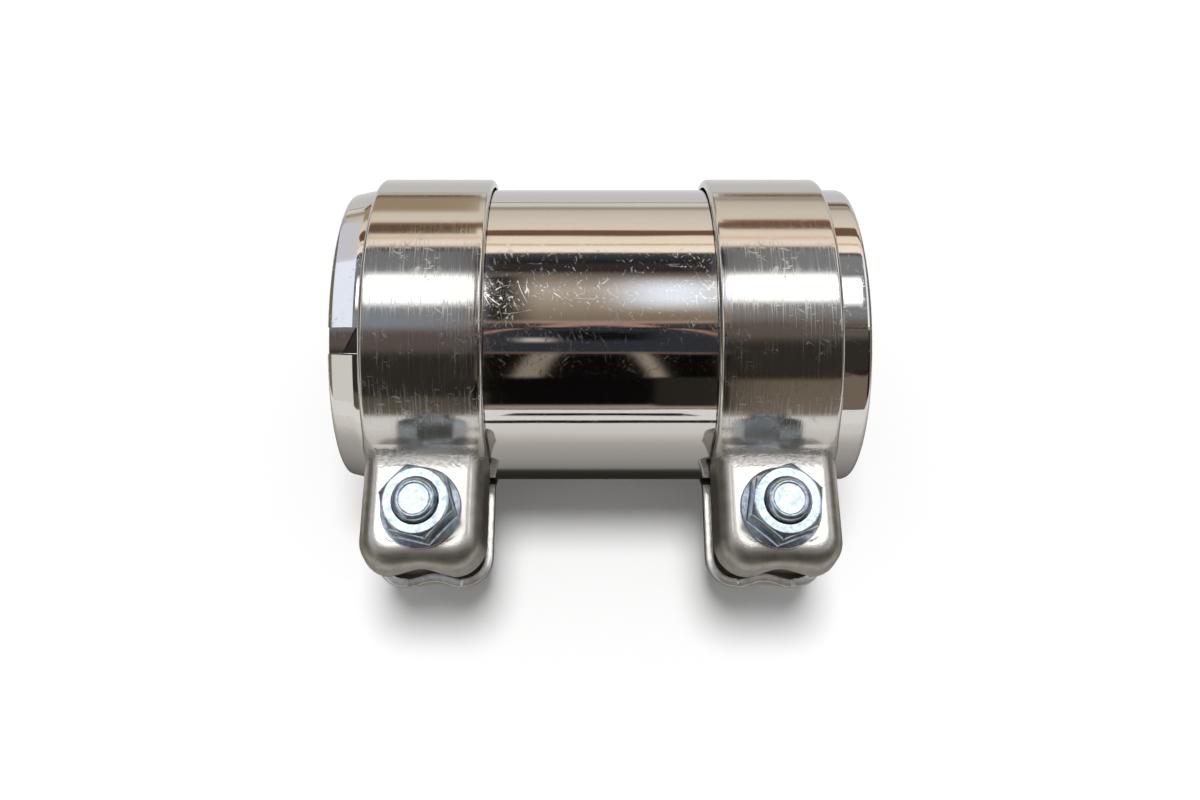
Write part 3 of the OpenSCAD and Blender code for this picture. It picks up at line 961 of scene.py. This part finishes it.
def layFlat(name, left, right, near, far, high, material):
    z = studio["floorLow"] + high
    corners = [(left, near, z), (right, near, z), (right, far, z), (left, far, z)]
    return plainObject(name, corners, [(0, 1, 2, 3)], material)


def floorMaterial():
    made, shader = newMaterial("paleTable")
    glow = shader.glow((1, 1, 1, 1), shader.shownRays() * studio["floorGlow"])
    both = shader.node("ShaderNodeAddShader", None, {0: shader.matt(studio["floorTone"]), 1: glow})
    shader.surface(both)
    return made


def cardMaterial(name, tones):
    made, shader = newMaterial(name)
    near, far = tones[0][0], tones[-1][0]
    y = shader.split(shader.node("ShaderNodeNewGeometry"))[1]
    stops = [((at - near) / (far - near), srgb(*tone)) for at, tone in tones]
    share = (y - near * mm) / ((far - near) * mm)
    shader.surface(shader.glow(shader.node("ShaderNodeValToRGB", {"stops": stops}, {"Fac": share})))
    return made


# A wide lampshade: flat below, domed above, slate inside with a pink rim
lampshade = {"middle": 0.012, "half": 0.115, "top": 64.5, "dome": 8.0, "foot": 44.2, "inside": (43.5, 45.0),
             "insideTone": srgb(42, 46, 52), "rimTone": srgb(160, 128, 120)}


def fromTent(angle):
    # The angle under which the tent's middle sees what the tube reflects at this angle
    return angle - studio["tubeShift"] * math.sin(math.radians((angle - studio["eyeAbove"]) / 2))


def tentMaterial():
    made, shader = newMaterial("studioSurroundings")
    place = shader.node("ShaderNodeNewGeometry")
    x, y, z = shader.split(place)
    sideways = x / shader.node("ShaderNodeVectorMath", {"operation": "LENGTH"}, {0: place}, out=1)
    angle = z.math("ARCTAN2", -y) * (180 / math.pi)
    stops = [(fromTent(a) / 180, srgb(*tone)) for a, tone in roomStrips]
    room = shader.node("ShaderNodeValToRGB", {"stops": stops}, {"Fac": angle / 180})

    shade = lampshade
    fromAxis = (sideways - shade["middle"]) / shade["half"]
    dome = shade["top"] - fromAxis.math("POWER", 2.0) * shade["dome"]
    inside = shader.smooth(angle, *shade["inside"]) * (1.0 - shader.smooth(angle - dome, -1.0, 0.0))
    rim = (1.0 - shader.smooth((angle - dome).math("ABSOLUTE"), 0.4, 1.3)) * 0.9
    lowerRim = (1.0 - shader.smooth((angle - shade["foot"]).math("ABSOLUTE"), 0.3, 1.0)) * 0.25
    room = shader.mix(inside, room, shade["insideTone"])
    room = shader.mix(rim.math("MAXIMUM", lowerRim), room, shade["rimTone"])
    for name, low, high, left, right, soft, softSide, tone in roomBoards:
        low, high, lean = fromTent(low), fromTent(high), boardLean.get(name)
        across = sideways - (angle - high) * lean if lean else sideways
        covered = shader.between(angle, low, high, soft) * shader.between(across, left, right, softSide)
        bright = [c * boardStrength.get(name, 1.0) for c in srgb(*tone)[:3]]
        room = shader.mix(covered, room, (*bright, 1.0))
    shader.surface(shader.glow(room, studio["tentStrength"]))
    return made


wide = studio["floorWide"]
layFlat("tableTop", -wide, wide, -wide, wide, 0.0, floorMaterial())

for name, left, right, near, far, tone in tableStrips:
    made, shader = newMaterial(name)
    shader.surface(shader.matt(srgb(*tone)))
    onlyReflected(layFlat(name, left, right, near, far, 0.5, made))

for name, (wide, high, tones) in tableCards.items():
    # Cards that glow in the floor's tones, with its shadow painted in
    made = cardMaterial(name, tones)
    onlyReflected(layFlat(name, -wide, wide, tones[0][0], tones[-1][0], high, made))

tentPoints, tentSteps, low = [], studio["tentSteps"], studio["floorLow"]
half, r = studio["tentLong"] / 2, studio["tentRadius"]
for i in range(tentSteps + 1):
    a = math.pi * i / tentSteps
    y, z = -r * math.cos(a), r * math.sin(a) + low
    tentPoints += [(-half, y, z), (half, y, z)]
tentFaces = [(2 * i, 2 * i + 1, 2 * i + 3, 2 * i + 2) for i in range(tentSteps)]
onlyReflected(plainObject("studioTent", tentPoints, tentFaces, tentMaterial()))

for name, x in (("leftCurtain", -studio["curtainAt"]), ("rightCurtain", studio["curtainAt"])):
    made, shader = newMaterial(name)
    shader.surface(shader.glow(studio["curtainTone"]))
    corners = [(x, -r, low), (x, r, low), (x, r, r), (x, -r, r)]
    onlyReflected(plainObject(name, corners, [(0, 1, 2, 3)], made))

world = bpy.data.worlds.new("studioAir")
bpy.context.scene.world = world
world.use_nodes = True
air = Shader(world.node_tree)
strength = studio["ambient"] + air.shownRays() * (1.0 - studio["ambient"])
even = air.node("ShaderNodeBackground", None, {"Color": (1, 1, 1, 1), "Strength": strength})
air.surface(even, "World")

overhead = bpy.data.lights.new("softSun", "SUN")
overhead.energy, overhead.angle = studio["sunStrength"], math.radians(studio["sunWide"])
lamp = bpy.data.objects.new("softSun", overhead)
bpy.context.scene.collection.objects.link(lamp)
lamp.visible_glossy = False

camera = {"lens": 33.045, "elevation": 52.935,
          "at": (-3.44, -156.45, 244.13), "shift": (0.0129, -0.1265)}
eye = bpy.data.objects.new("camera", bpy.data.cameras.new("camera"))
bpy.context.scene.collection.objects.link(eye)
eye.data.sensor_width, eye.data.lens = 36.0, camera["lens"]
eye.data.shift_x, eye.data.shift_y = camera["shift"]
eye.data.clip_start = 0.01
eye.location = Vector(camera["at"]) * mm
eye.rotation_euler = (math.radians(90 - camera["elevation"]), 0, 0)
bpy.context.scene.camera = eye
bpy.context.scene.view_settings.view_transform = "Standard"
print("studio made")
